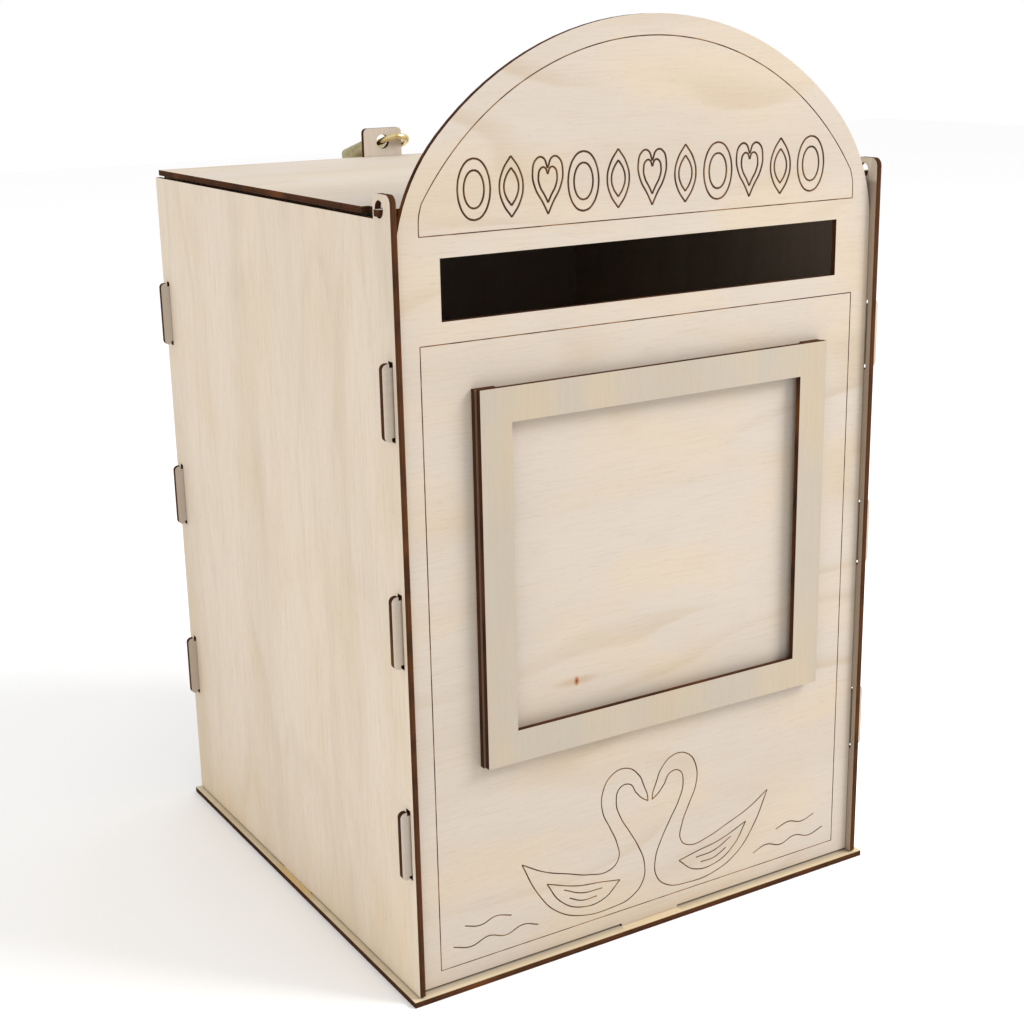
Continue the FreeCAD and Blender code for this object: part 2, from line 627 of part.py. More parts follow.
def padlock_pieces(doc):
    """Every padlock piece, upright."""
    wall = "CaseWide/2"
    pieces = [
        lock_case(doc), shackle(doc), key_plug(doc), locking_bolt(doc),
        pin_row(doc, "key_pins", "PinRadius", "0 - PlugRadius + Play", "KeyPinLong"),
        pin_row(doc, "driver_pins", "PinRadius", "0 - DriverEnd", "DriverLong"),
        pin_row(doc, "pin_springs", "PinRadius", "0 - %s + SpringEnd" % wall,
                "%s - SpringEnd - DriverEnd - SpringPlay" % wall, "SpringCore"),
        pin_row(doc, "chamber_plugs", "PinRadius + Play/4", "0 - %s + CapInset" % wall, "CapLong"),
        rod(doc, "shackle_stop_pin", "StopRadius - Play/4", "CaseDeep - 2*StopInset",
            ("LegHalf - NeckRadius - StopRadius - Play", "StopInset - CaseDeep/2", "0 - StopDepth"), ALONG_Y),
    ]
    low_end = ("LegHalf", "0", "0 - HeelEnd - HeelPlay - HeelSpring")
    spring = carve(doc, "shackle_spring",
                   rod(doc, "spring_tube", "Wire - HeelPlay", "HeelSpring", low_end),
                   [rod(doc, "spring_core", "Wire - HeelPlay - HeelWall", "HeelSpring", low_end)])
    return pieces + [spring]


def lock_placement(sheet):
    """Puts the padlock's free leg through the middle of the padlock hole, at the hanging angles."""
    turn = math.radians(LOCK_TURN)
    droop = math.radians(LOCK_DROOP)
    down = FreeCAD.Vector(-math.sin(turn) * math.cos(droop), math.cos(turn) * math.cos(droop),
                          -math.sin(droop))
    level = FreeCAD.Vector(math.cos(turn), math.sin(turn), 0)
    across = FreeCAD.Rotation(down, -LOCK_ROLL).multVec(level)
    rotation = FreeCAD.Rotation(across, FreeCAD.Vector(0, 0, 0), down * -1, "XZY")
    hole = FreeCAD.Vector(0, number(sheet, BACK_FACE + " - Ply/2"), number(sheet, "HaspHoleHeight"))
    to_top = number(sheet, "LegRise - HaspLeg")
    origin = hole + down * to_top + across * number(sheet, "LegHalf")
    return FreeCAD.Placement(origin, rotation)


def hang_padlock(doc, pieces):
    """A Compound or boolean takes the hanging placement; a plain pin has its own place first."""
    frame = lock_placement(doc.getObject(SHEET))
    hung = []
    for piece in pieces:
        name = piece.Name
        if piece.TypeId == "Part::Cylinder":
            holder = doc.addObject("Part::Compound", name + "_hung")
            holder.Links = [piece]
            piece.Label = name + "_rod"
            piece = holder
        piece.Label = name
        piece.Placement = frame
        hung.append(piece)
    return hung


# ---------------------------------------------------------------- the whole box

def check(doc, pieces):
    """Stops if any object failed, or if a piece has no valid shape."""
    for item in doc.Objects:
        if "Invalid" in item.State or "Error" in item.State:
            raise RuntimeError("%s failed: %s" % (item.Name, item.State))
    for piece in pieces:
        if piece.Shape.isNull() or not piece.Shape.isValid():
            raise RuntimeError("%s has no valid shape" % piece.Label)


def export(pieces):
    """Writes one STEP file for each piece."""
    os.makedirs("parts", exist_ok=True)
    for piece in pieces:
        piece.Shape.exportStep("parts/%s.step" % piece.Label)
        box = piece.Shape.BoundBox
        print("%-20s solids %d  volume %.1f  x %.1f %.1f  y %.1f %.1f  z %.1f %.1f" % (
            piece.Label, len(piece.Shape.Solids), piece.Shape.Volume,
            box.XMin, box.XMax, box.YMin, box.YMax, box.ZMin, box.ZMax))


def main():
    """Builds, checks and exports the whole box."""
    doc = FreeCAD.newDocument("wedding_card_box")
    make_sheet(doc)
    pieces = [
        base_panel(doc),
        side_panel(doc, "left_side_panel", "0 - Width/2"),
        side_panel(doc, "right_side_panel", INSIDE),
        front_panel(doc),
        back_panel(doc),
        lid_panel(doc),
        photo_frame_ring(doc),
        photo_frame_spacer(doc),
    ]
    padlock = padlock_pieces(doc)
    doc.recompute()
    pieces += hang_padlock(doc, padlock)
    doc.recompute()
    check(doc, pieces)
    export(pieces)


main()
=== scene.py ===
"""Card box for a wedding: laser-cut plywood panels, a scored front, a picture frame and a small padlock.

The file is laid out as an add-on and run as a script. Everything is in metres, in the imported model's own
frame: the origin is the middle of the base's underside, +Z is up, the front faces -Y and +X is right seen
from the front.
"""

import json
import math

import bpy
from bpy.props import FloatProperty, FloatVectorProperty, IntProperty, PointerProperty
from mathutils import Matrix, Vector

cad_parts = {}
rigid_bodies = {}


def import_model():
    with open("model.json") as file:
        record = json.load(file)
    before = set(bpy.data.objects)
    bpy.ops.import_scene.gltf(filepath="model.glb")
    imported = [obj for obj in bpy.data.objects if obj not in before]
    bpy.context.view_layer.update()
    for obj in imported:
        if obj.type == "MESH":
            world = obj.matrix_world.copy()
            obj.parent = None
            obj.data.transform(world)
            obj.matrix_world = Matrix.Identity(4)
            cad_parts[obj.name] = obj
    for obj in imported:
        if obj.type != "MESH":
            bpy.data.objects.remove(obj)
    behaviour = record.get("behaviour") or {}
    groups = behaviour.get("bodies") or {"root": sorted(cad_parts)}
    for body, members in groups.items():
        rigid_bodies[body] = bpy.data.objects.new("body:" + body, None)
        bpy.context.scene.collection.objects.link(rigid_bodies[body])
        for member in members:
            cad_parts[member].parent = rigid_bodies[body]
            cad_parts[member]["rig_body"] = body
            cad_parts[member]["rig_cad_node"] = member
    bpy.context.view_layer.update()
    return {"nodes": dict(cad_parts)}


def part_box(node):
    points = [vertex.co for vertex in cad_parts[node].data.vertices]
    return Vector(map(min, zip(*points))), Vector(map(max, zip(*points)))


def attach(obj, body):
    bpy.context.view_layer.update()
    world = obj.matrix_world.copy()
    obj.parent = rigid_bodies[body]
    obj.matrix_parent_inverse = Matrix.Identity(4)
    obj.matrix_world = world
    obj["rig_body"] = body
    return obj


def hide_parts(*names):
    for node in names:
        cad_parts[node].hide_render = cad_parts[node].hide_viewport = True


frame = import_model()

bl_info = {
    "name": "Wedding Card Box",
    "version": (1, 0, 0),
    "blender": (4, 5, 0),
    "location": "View3D > Sidebar > Card Box",
    "description": "Builds the looks of a laser-cut plywood card box on its packed model",
    "category": "Object",
}

MM = 0.001
SENSOR_WIDTH = 36.0
X_AXIS, Y_AXIS, Z_AXIS = 0, 1, 2

# Parts of the wood's figure: length along the grain and width across it, in metres.
BROAD_BANDS = (0.30, 0.045)
FIBRES = (0.022, 0.0010)
FLECKS = (0.005, 0.0007)
MOTTLE = (0.08, 0.035)
RING_SWAY = (0.24, 0.075)
RING_PATCHES = (0.12, 0.05)
RING_PITCH = 0.062

# How far a surface looks along the thickness: a cut edge below the first share, a face above the second.
EDGE_TO_FACE = (0.25, 0.45)
# Depths below the face, in metres, over which a scored line turns tan and then dark.
WARMED_DEPTH = (0.00001, 0.00010)
BURNT_DEPTH = (0.00012, 0.00034)
# Heights just under the lid over which the inner shade ends, and the same for distances out to the sides.
INNER_TOP = (0.3370, 0.3396)
INNER_SIDE = (0.1222, 0.1226)


# ---------------------------------------------------------------------------------------------- properties


def tone(name, description, red, green, blue):
    """A colour property whose default is given the way a paint chart gives it, 0 to 255."""
    return FloatVectorProperty(
        name=name,
        description=description,
        subtype="COLOR",
        size=3,
        min=0.0,
        max=1.0,
        default=linear(red, green, blue),
    )


def linear(red, green, blue):
    """A 0 to 255 display colour as the linear light that shaders work in."""
    shares = (value / 255 for value in (red, green, blue))
    return tuple(s / 12.92 if s <= 0.04045 else ((s + 0.055) / 1.055) ** 2.4 for s in shares)


def distance(name, description, millimetres):
    """A length property, in metres, with its default in millimetres."""
    return FloatProperty(
        name=name, description=description, default=millimetres * MM, min=0.0, unit="LENGTH", precision=5
    )


def place(name, description, *metres):
    """A point property, in metres."""
    return FloatVectorProperty(name=name, description=description, default=metres, subtype="TRANSLATION")


def share(name, description, default, top=1.0):
    """A plain factor from nothing to top."""
    return FloatProperty(name=name, description=description, default=default, min=0.0, max=top)


def angle(name, description, degrees):
    """An angle property with its default in degrees."""
    return FloatProperty(name=name, description=description, default=math.radians(degrees), subtype="ANGLE")


class PlywoodSettings(bpy.types.PropertyGroup):
    """Colours of the birch ply and of its laser-cut edges."""

    face: tone("Face", "Bare birch face of the front and back", 184, 173, 161)
    # Painted light: the side face is a lighter copy of the same birch as the front's face, painted lighter to
    # make up for the lesser light that reaches the sides.
    side_face: tone("Side face", "Bare birch face of the two sides", 222, 207, 188)
    lid_face: tone("Lid face", "Bare birch face of the lid", 196, 185, 172)
    base_face: tone("Base face", "Face of the base, a little yellower", 214, 198, 168)
    frame_face: tone("Frame face", "Greyer ply of the picture frame", 167, 157, 143)
    streak: tone("Streak", "Darker fibres along the grain", 161, 141, 113)
    figure: tone("Figure", "Tan growth-ring figure", 166, 147, 120)
    scorch: tone("Scorch", "Tan where the laser only warmed the wood", 154, 118, 76)
    groove: tone("Groove", "Floor of a scored line", 72, 49, 29)
    resin: tone("Resin", "Yellow stains low on the sides and beside their feet", 204, 172, 108)
    # Soot and painted shade: this brown darkens the front's face beside the side panels and the sides' inner
    # faces ahead of the front, as laser smoke and as painted shadow.
    soot_and_shade: tone("Soot", "Smoke left on a face beside a cut", 112, 92, 62)
    # Ash and painted shadow: this grey on the base along the front's foot is partly laser smoke and partly
    # the painted shadow under the raised front panel.
    ash_and_shadow: tone("Ash", "Grey smoke on the base along the front's foot", 150, 138, 128)
    knot_ring: tone("Knot ring", "Rim of the knot", 160, 98, 52)
    knot_heart: tone("Knot heart", "Middle of the knot", 84, 46, 22)
    edge_light: tone("Edge, light ply", "Cut edge of the outer plies", 82, 49, 27)
    edge_dark: tone("Edge, dark ply", "Cut edge at the glue lines and the burnt side", 36, 21, 12)
    ember: tone("Ember", "Orange-brown patches on a cut edge", 122, 72, 34)
    # Painted shade: the faces inside the box, below the lid, are darkened towards the inner brown by the
    # inner shade share, standing in for the shade in the closed box.
    inner: tone("Inner face", "Brown that the smoked inner faces tend to", 92, 56, 40)
    fibre: share("Fibre strength", "How far the fibres darken the face", 0.17)
    inner_shade: share("Inner shade", "How far the inner faces tend to that brown", 0.5)
    cut_bump: share("Bump", "Relief of the fibres", 0.12)


class ScoringSettings(bpy.types.PropertyGroup):
    """Widths and places of the lines that are scored into the front."""

    border_line: distance("Border line", "Half width of the arch and border lines", 0.30)
    swan_line: distance("Swan line", "Half width of the swan drawing's lines", 0.36)
    ornament_line: distance("Ornament line", "Half width of the ornament row's lines", 0.50)
    border_side: distance("Border side", "Half width of the scored border", 112.3)
    border_top: distance("Border top", "Height of the border's top line", 288.3)
    border_bottom: distance("Border bottom", "Height of the border's bottom line", 10.8)
    arch_base: distance("Arch base", "Height of the arch line's flat base", 331.3)
    arch_side: distance("Arch side", "Half width of the arch line", 111.2)
    arch_top: distance("Arch top", "Height of the arch line's crown", 404.5)
    arch_radius: distance("Arch radius", "Radius of the arch line", 129.5)
    ornament_level: distance("Ornament level", "Height of the middle of the ornament row", 348.0)
    ornament_height: distance("Ornament height", "Height of one ornament", 24.0)
    ornament_pitch: distance("Ornament pitch", "Distance from one ornament to the next", 17.2)
    ornament_count: IntProperty(
        name="Ornaments each side", description="Ornaments beside the middle one", default=5, min=0, max=6
    )


class PadlockSettings(bpy.types.PropertyGroup):
    """Metals of the little padlock, and the way it hangs."""

    brass: tone("Brass", "Case of the padlock", 170, 160, 124)
    dark_brass: tone("Worn brass", "Brass where it is handled", 112, 100, 62)
    plating: tone("Plating", "Plated wire of the shackle", 218, 198, 146)
    steel: tone("Steel", "Springs and stop pin", 150, 150, 148)
    roughness: share("Roughness", "Polish of the case", 0.3)
    turn: angle("Turn", "Turn of the hanging padlock to the left", 30.0)
    droop: angle("Droop", "Droop of the hanging padlock", 22.0)
    roll: angle("Roll", "Roll of the hanging padlock about its shackle's leg", 16.0)
    rim: distance("Rim", "Rounding of the case's top and bottom rims", 0.7)


class StageSettings(bpy.types.PropertyGroup):
    """Camera and light."""

    azimuth: angle("Azimuth", "Turn of the camera round the box", 31.0)
    elevation: angle("Elevation", "How far the camera looks down", 16.16)
    roll: angle("Roll", "Tilt of the camera about its line of sight", -1.15)
    lens: FloatProperty(
        name="Lens", description="Focal length on a 36 mm sensor, in mm", default=59.75, min=10.0
    )
    eye: place("Eye", "Place of the camera", -0.4229, -0.7099, 0.4117)
    sky: share("Sky", "Strength of the even light from all round", 1.0, 5.0)
    softbox: FloatProperty(
        name="Softbox", description="Power of the one soft lamp", default=30.0, min=0.0, unit="POWER"
    )
    softbox_place: place("Softbox place", "Where the soft lamp hangs", 1.15, -1.05, 1.35)
    softbox_aim: place("Softbox aim", "Where the soft lamp points", 0.0, 0.0, 0.2)
    softbox_size: distance("Softbox size", "Side of the square lamp", 800.0)
    floor_size: distance("Floor", "Side of the square floor", 9000.0)


class CardBoxSettings(bpy.types.PropertyGroup):
    """All the settings of the card box."""

    plywood: PointerProperty(type=PlywoodSettings, name="Plywood", description="Birch ply and cut edges")
    scoring: PointerProperty(type=ScoringSettings, name="Scoring", description="Lines on the front")
    padlock: PointerProperty(type=PadlockSettings, name="Padlock", description="Metals of the padlock")
    stage: PointerProperty(type=StageSettings, name="Stage", description="Camera and light")


# ------------------------------------------------------------------------------------------ shader building


class Shading:
    """A material's node tree, with short ways to add the nodes this box uses."""

    def __init__(self, name):
        self.material = bpy.data.materials.new(name)
        self.material.use_nodes = True
        self.tree = self.material.node_tree
        self.shader = self.tree.nodes["Principled BSDF"]
        coordinates = self.add("ShaderNodeTexCoord")
        self.place = coordinates.outputs["Object"]
        self.parts = self.add("ShaderNodeSeparateXYZ", Vector=self.place).outputs
        self.facing = self.add("ShaderNodeSeparateXYZ", Vector=coordinates.outputs["Normal"]).outputs

    def add(self, kind, **inputs):
        """A node with its inputs set, or linked where the value is a socket."""
        node = self.tree.nodes.new(kind)
        for name, value in inputs.items():
            self.feed(node.inputs[name], value)
        return node

    def feed(self, socket, value):
        """A socket gets a link or a plain value."""
        if isinstance(value, bpy.types.NodeSocket):
            self.tree.links.new(value, socket)
        elif socket.type == "RGBA" and len(value) == 3:
            socket.default_value = (*value, 1.0)
        else:
            socket.default_value = value

    def math(self, operation, first, second=0.0):
        """One arithmetic step."""
        node = self.tree.nodes.new("ShaderNodeMath")
        node.operation = operation
        self.feed(node.inputs[0], first)
        self.feed(node.inputs[1], second)
        return node.outputs[0]

    def ramp(self, value, low, high, start=0.0, end=1.0):
        """value from low to high, eased, as start to end."""
        node = self.tree.nodes.new("ShaderNodeMapRange")
        node.interpolation_type = "SMOOTHSTEP"
        for name, number in (("From Min", low), ("From Max", high), ("To Min", start), ("To Max", end)):
            node.inputs[name].default_value = number
        self.feed(node.inputs["Value"], value)
        return node.outputs["Result"]

    def mix(self, factor, under, over):
        """Two colours blended."""
        node = self.tree.nodes.new("ShaderNodeMix")
        node.data_type = "RGBA"
        self.feed(node.inputs["Factor"], factor)
        self.feed(node.inputs[6], under)
        self.feed(node.inputs[7], over)
        return node.outputs[2]

    def noise(self, sizes, detail=2.0, roughness=0.5, distortion=0.0, shift=(0.0, 0.0, 0.0)):
        """Noise whose grains measure about sizes (x, y, z) in metres."""
        mapping = self.add("ShaderNodeMapping", Vector=self.place)
        mapping.inputs["Location"].default_value = shift
        mapping.inputs["Scale"].default_value = tuple(1 / size for size in sizes)
        node = self.add(
            "ShaderNodeTexNoise",
            Vector=mapping.outputs["Vector"],
            Scale=1.0,
            Detail=detail,
            Roughness=roughness,
            Distortion=distortion,
        )
        return node.outputs["Fac"]

    def finish(self, colour, roughness, relief=None, strength=0.1, height=0.0002):
        """The shader's colour, roughness and bump."""
        self.feed(self.shader.inputs["Base Color"], colour)
        self.feed(self.shader.inputs["Roughness"], roughness)
        if relief is not None:
            bump = self.add("ShaderNodeBump", Height=relief, Strength=strength, Distance=height)
            self.feed(self.shader.inputs["Normal"], bump.outputs["Normal"])
        return self.material


def along(axis, grain, length, width):
    """Sizes of a streak: length along the grain, width across it."""
    sizes = [width, width, width]
    sizes[grain] = length
    sizes[axis] = length
    return sizes


def plywood(name, face, faces_at, axis, grain, shift, figure, inside, marks):
    """Birch ply: fibres and growth figure on its two faces, burnt plies on every cut edge.

    The faces lie at faces_at along axis, and the fibres run along grain. A surface that looks across the
    thickness is a cut edge, and one below the face is a scored line. shift moves the figure, so that no two
    panels are alike. inside is the sign of the face that is turned to the inside of the box, or 0. marks adds
    what one panel has alone.
    """
    look = bpy.context.scene.card_box.plywood
    wood = Shading(name)
    low, high = faces_at
    middle, half = (low + high) / 2, (high - low) / 2
    offset = wood.math("SUBTRACT", wood.parts[axis], middle)
    depth = wood.math("SUBTRACT", half, wood.math("ABSOLUTE", offset))
    flat = wood.math("ABSOLUTE", wood.facing[axis])
    moved = (shift, shift * 1.7, shift * 2.3)
    across = X_AXIS + Y_AXIS + Z_AXIS - axis - grain

    broad = wood.noise(along(axis, grain, *BROAD_BANDS), detail=3.0, distortion=0.3, shift=moved)
    fibres = wood.noise(along(axis, grain, *FIBRES), detail=3.0, roughness=0.6, distortion=0.3, shift=moved)
    mottle = wood.noise(along(axis, grain, *MOTTLE), detail=2.0, shift=(shift * 2.2, shift, shift * 1.4))
    flecks = wood.noise(along(axis, grain, *FLECKS), detail=1.0, shift=moved)
    swayed, patched = (shift * 3.1, shift, shift), (shift, shift * 2.9, shift)
    sway = wood.noise(along(axis, grain, *RING_SWAY), detail=2.0, roughness=0.35, shift=swayed)
    patch = wood.noise(along(axis, grain, *RING_PATCHES), detail=1.0, shift=patched)
    rings = wood.math("DIVIDE", wood.parts[across], RING_PITCH)
    growth = wood.math("FRACT", wood.math("ADD", rings, wood.math("MULTIPLY", sway, 6.0)))
    late = wood.math("MAXIMUM", wood.ramp(growth, 0.90, 1.0), wood.ramp(growth, 0.0, 0.30, 1.0, 0.0))
    late = wood.math("MULTIPLY", late, wood.ramp(patch, 0.38, 0.66, 0.0, figure))

    colour = wood.mix(wood.ramp(broad, 0.38, 0.75, 0.0, 0.22), face, look.streak)
    colour = wood.mix(wood.ramp(mottle, 0.42, 0.70, 0.0, 0.16), colour, look.resin)
    colour = wood.mix(late, colour, look.figure)
    colour = wood.mix(wood.ramp(fibres, 0.42, 0.74, 0.0, look.fibre), colour, look.streak)
    colour = wood.mix(wood.ramp(flecks, 0.60, 0.74, 0.0, look.fibre), colour, look.streak)
    # Painted shade: the face turned to the inside is darkened towards the inner brown below the lid, and on
    # panels other than the sides only between the side panels.
    if inside:
        turned_in = wood.ramp(wood.math("MULTIPLY", offset, inside), 0.0, half * 0.5, 0.0, look.inner_shade)
        enclosed = wood.ramp(wood.parts[Z_AXIS], *INNER_TOP, 1.0, 0.0)
        if axis != X_AXIS:
            out = wood.math("ABSOLUTE", wood.parts[X_AXIS])
            enclosed = wood.math("MULTIPLY", enclosed, wood.ramp(out, *INNER_SIDE, 1.0, 0.0))
        colour = wood.mix(wood.math("MULTIPLY", turned_in, enclosed), colour, look.inner)
    for mark in marks:
        colour = mark(wood, colour, look)

    smoke = wood.noise((0.009, 0.009, 0.009), detail=2.0, shift=moved)
    warmed = wood.mix(wood.ramp(smoke, 0.36, 0.62), look.scorch, look.groove)
    colour = wood.mix(wood.ramp(depth, *WARMED_DEPTH), colour, warmed)
    colour = wood.mix(wood.ramp(depth, *BURNT_DEPTH), colour, look.groove)
    edge = burnt_edge(wood, look, offset, half, moved)
    colour = wood.mix(wood.ramp(flat, *EDGE_TO_FACE, 1.0, 0.0), colour, edge)

    relief = wood.math("ADD", wood.math("MULTIPLY", fibres, 0.7), wood.math("MULTIPLY", flecks, 0.3))
    roughness = wood.ramp(flat, *EDGE_TO_FACE, 0.92, 0.60)
    wood.feed(wood.shader.inputs["Specular IOR Level"], wood.ramp(flat, *EDGE_TO_FACE, 0.08, 0.3))
    return wood.finish(colour, roughness, relief, look.cut_bump)


def burnt_edge(wood, look, offset, half, moved):
    """Colour of a laser-cut edge: three plies, dark at the glue lines, charred and ember-brown in patches."""
    char = wood.noise((0.014, 0.014, 0.014), detail=3.0, shift=moved)
    glow = wood.noise((0.05, 0.05, 0.05), detail=2.0, shift=(moved[2], moved[0], moved[1]))
    plies = wood.math("PINGPONG", wood.math("DIVIDE", offset, half * 0.72), 0.5)
    burnt = wood.mix(wood.ramp(plies, 0.30, 0.5, 0.0, 0.85), look.edge_light, look.edge_dark)
    burnt = wood.mix(wood.ramp(offset, -half, half, 0.35, 0.0), burnt, look.edge_dark)
    burnt = wood.mix(wood.ramp(char, 0.40, 0.70, 0.0, 0.55), burnt, look.edge_dark)
    return wood.mix(wood.ramp(glow, 0.56, 0.72, 0.0, 0.45), burnt, look.ember)


def reach_from(wood, centre_x, centre_z, squeeze_x, squeeze_z):
    """Distance in the front's plane from one point, with each direction squeezed by its own factor."""
    right = wood.math("MULTIPLY", wood.math("SUBTRACT", wood.parts[X_AXIS], centre_x), squeeze_x)
    up = wood.math("MULTIPLY", wood.math("SUBTRACT", wood.parts[Z_AXIS], centre_z), squeeze_z)
    return wood.math("SQRT", wood.math("ADD", wood.math("POWER", right, 2.0), wood.math("POWER", up, 2.0)))


def knot(wood, colour, look):
    """The one small knot in the front, inside the picture frame, with darker wood beside it on the grain."""
    centre = (-0.0400, 0.1312)
    halo = reach_from(wood, *centre, 0.17, 1.0)
    core = reach_from(wood, *centre, 1.35, 0.85)
    colour = wood.mix(wood.ramp(halo, 0.0002, 0.0030, 0.42, 0.0), colour, look.scorch)
    colour = wood.mix(wood.ramp(core, 0.0011, 0.0022, 0.9, 0.0), colour, look.knot_ring)
    return wood.mix(wood.ramp(core, 0.0004, 0.0011, 0.85, 0.0), colour, look.knot_heart)


def end_shadow_and_soot(wood, colour, look):
    """Painted shadow of the side panels on the front's face beside them, and soot with painted shade in the
    corner where the front runs into them, fading out along the tabs.
    """
    # The first reach is a painted shadow cast by the side panel; the second, in the corner, is soot deepened
    # as painted shade.
    side_shadow, corner, tab = (0.1180, 0.1222), (0.1215, 0.1223), (0.1224, 0.1262)
    out = wood.math("ABSOLUTE", wood.parts[X_AXIS])
    inside = wood.ramp(out, *tab, 1.0, 0.0)
    for reach, strength in ((side_shadow, 0.12), (corner, 0.8)):
        smoke = wood.ramp(out, *reach, 0.0, strength)
        colour = wood.mix(wood.math("MULTIPLY", smoke, inside), colour, look.soot_and_shade)
    return colour


def shadow_ash_and_stain(wood, colour, look):
    """Grey on the base along the front's foot, partly laser smoke and partly painted shadow under the raised
    front panel, and a brown stain beside each side panel's foot.
    """
    front_strip, front_foot, side_panel = (-0.1286, -0.1266), (0.0160, 0.0166), (0.1225, 0.1245)
    side_strip, side_foot = (0.1246, 0.1256), (0.0120, 0.0260)
    # Painted shadow under the front panel, with laser smoke, on the base ahead of it, clear of the front's
    # foot and of the side panels.
    near = wood.ramp(wood.parts[Y_AXIS], *front_strip, 0.0, 0.42)
    out = wood.math("ABSOLUTE", wood.parts[X_AXIS])
    clear = wood.math("MULTIPLY", wood.ramp(out, *front_foot), wood.ramp(out, *side_panel, 1.0, 0.0))
    colour = wood.mix(wood.math("MULTIPLY", near, clear), colour, look.ash_and_shadow)
    foot = wood.ramp(wood.math("ABSOLUTE", wood.parts[Y_AXIS]), *side_foot, 0.75, 0.0)
    return wood.mix(wood.math("MULTIPLY", wood.ramp(out, *side_strip), foot), colour, look.resin)


def stained_foot(wood, colour, look):
    """Faint yellow stains low on a side panel, in streaks up the grain."""
    streaks = wood.noise((0.1, 0.035, 0.09), detail=2.0, shift=(0.4, 0.1, 0.7))
    stained = (0.004, 0.055)
    low = wood.ramp(wood.parts[Z_AXIS], *stained, 0.34, 0.0)
    return wood.mix(wood.math("MULTIPLY", low, wood.ramp(streaks, 0.30, 0.80)), colour, look.resin)


def front_recess_shade(wood, colour, look):
    """A side panel's inner face, darkened with painted shade where it stands ahead of the front panel, in the
    recess before the side's front edge.
    """
    front_face, inner_face = (-0.1251, -0.1241), (0.1230, 0.1236)
    # Painted shade in the recess ahead of the front panel.
    ahead = wood.ramp(wood.parts[Y_AXIS], *front_face, 0.30, 0.0)
    inner = wood.ramp(wood.math("ABSOLUTE", wood.parts[X_AXIS]), *inner_face, 1.0, 0.0)
    return wood.mix(wood.math("MULTIPLY", ahead, inner), colour, look.soot_and_shade)


def browned_rim(wood, colour, look):
    """The picture frame's spacer, darkened towards the edge brown where it shows beside the ring."""
    beside_ring = (-0.0884, -0.0876)
    return wood.mix(wood.ramp(wood.parts[X_AXIS], *beside_ring, 0.8, 0.0), colour, look.edge_light)


def metal(name, bright, dull, roughness, grain=0.004):
    """Plated or bare metal with worn patches and fine polishing marks."""
    plate = Shading(name)
    worn = plate.noise((grain, grain, grain), detail=4.0, roughness=0.6)
    fine = plate.noise((0.0004, 0.0004, 0.003), detail=2.0)
    colour = plate.mix(plate.ramp(worn, 0.45, 0.75, 0.0, 0.6), bright, dull)
    plate.shader.inputs["Metallic"].default_value = 1.0
    return plate.finish(colour, plate.ramp(worn, 0.3, 0.7, roughness, roughness + 0.16), fine, 0.05, 0.0001)


def dress(node, material):
    """A shown piece wears one material all over."""
    node.data.materials.clear()
    node.data.materials.append(material)
    for face in node.data.polygons:
        face.material_index = 0


# ------------------------------------------------------------------------------------------ mesh modelling


def pick(*objects):
    """Only these objects are selected, and the first is active."""
    bpy.ops.object.select_all(action="DESELECT")
    for obj in objects:
        obj.select_set(True)
    bpy.context.view_layer.objects.active = objects[0]


def copy_of(node, name):
    """A loose copy of a CAD node's mesh, its doubled corners merged: the start of a piece in its place."""
    pick(frame["nodes"][node])
    bpy.ops.object.duplicate()
    piece = bpy.context.active_object
    bpy.ops.object.parent_clear(type="CLEAR_KEEP_TRANSFORM")
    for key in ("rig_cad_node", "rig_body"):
        if key in piece:
            del piece[key]
    piece.name = piece.data.name = name
    pick(piece)
    bpy.ops.mesh.customdata_custom_splitnormals_clear()
    bpy.ops.object.mode_set(mode="EDIT")
    bpy.ops.mesh.select_all(action="SELECT")
    bpy.ops.mesh.remove_doubles(threshold=1e-6)
    bpy.ops.mesh.dissolve_limited(angle_limit=math.radians(0.2))
    bpy.ops.object.mode_set(mode="OBJECT")
    return piece


def scored_line(points, half_width, level):
    """One smooth scored line through points (x, z in mm) on the plane y = level, as a thin four-sided bar."""
    bpy.ops.object.select_all(action="DESELECT")
    bpy.ops.curve.primitive_bezier_curve_add()
    line = bpy.context.active_object
    spline = line.data.splines[0]
    spline.bezier_points.add(len(points) - 2)
    for bend, (x, z) in zip(spline.bezier_points, points):
        bend.handle_left_type = bend.handle_right_type = "AUTO"
        bend.co = (x * MM, level, z * MM)
    line.data.resolution_u = 6
    line.data.bevel_depth = half_width
    line.data.bevel_resolution = 0
    line.data.use_fill_caps = True
    bpy.ops.object.convert(target="MESH")
    line = bpy.context.active_object
    bpy.ops.object.mode_set(mode="EDIT")
    bpy.ops.mesh.select_all(action="SELECT")
    bpy.ops.mesh.remove_doubles(threshold=1e-6)
    bpy.ops.mesh.normals_make_consistent(inside=False)
    bpy.ops.object.mode_set(mode="OBJECT")
    return line


def both_sides(points):
    """A line and its mirror image in the box's middle."""
    return [points, [(-x, z) for x, z in points]]


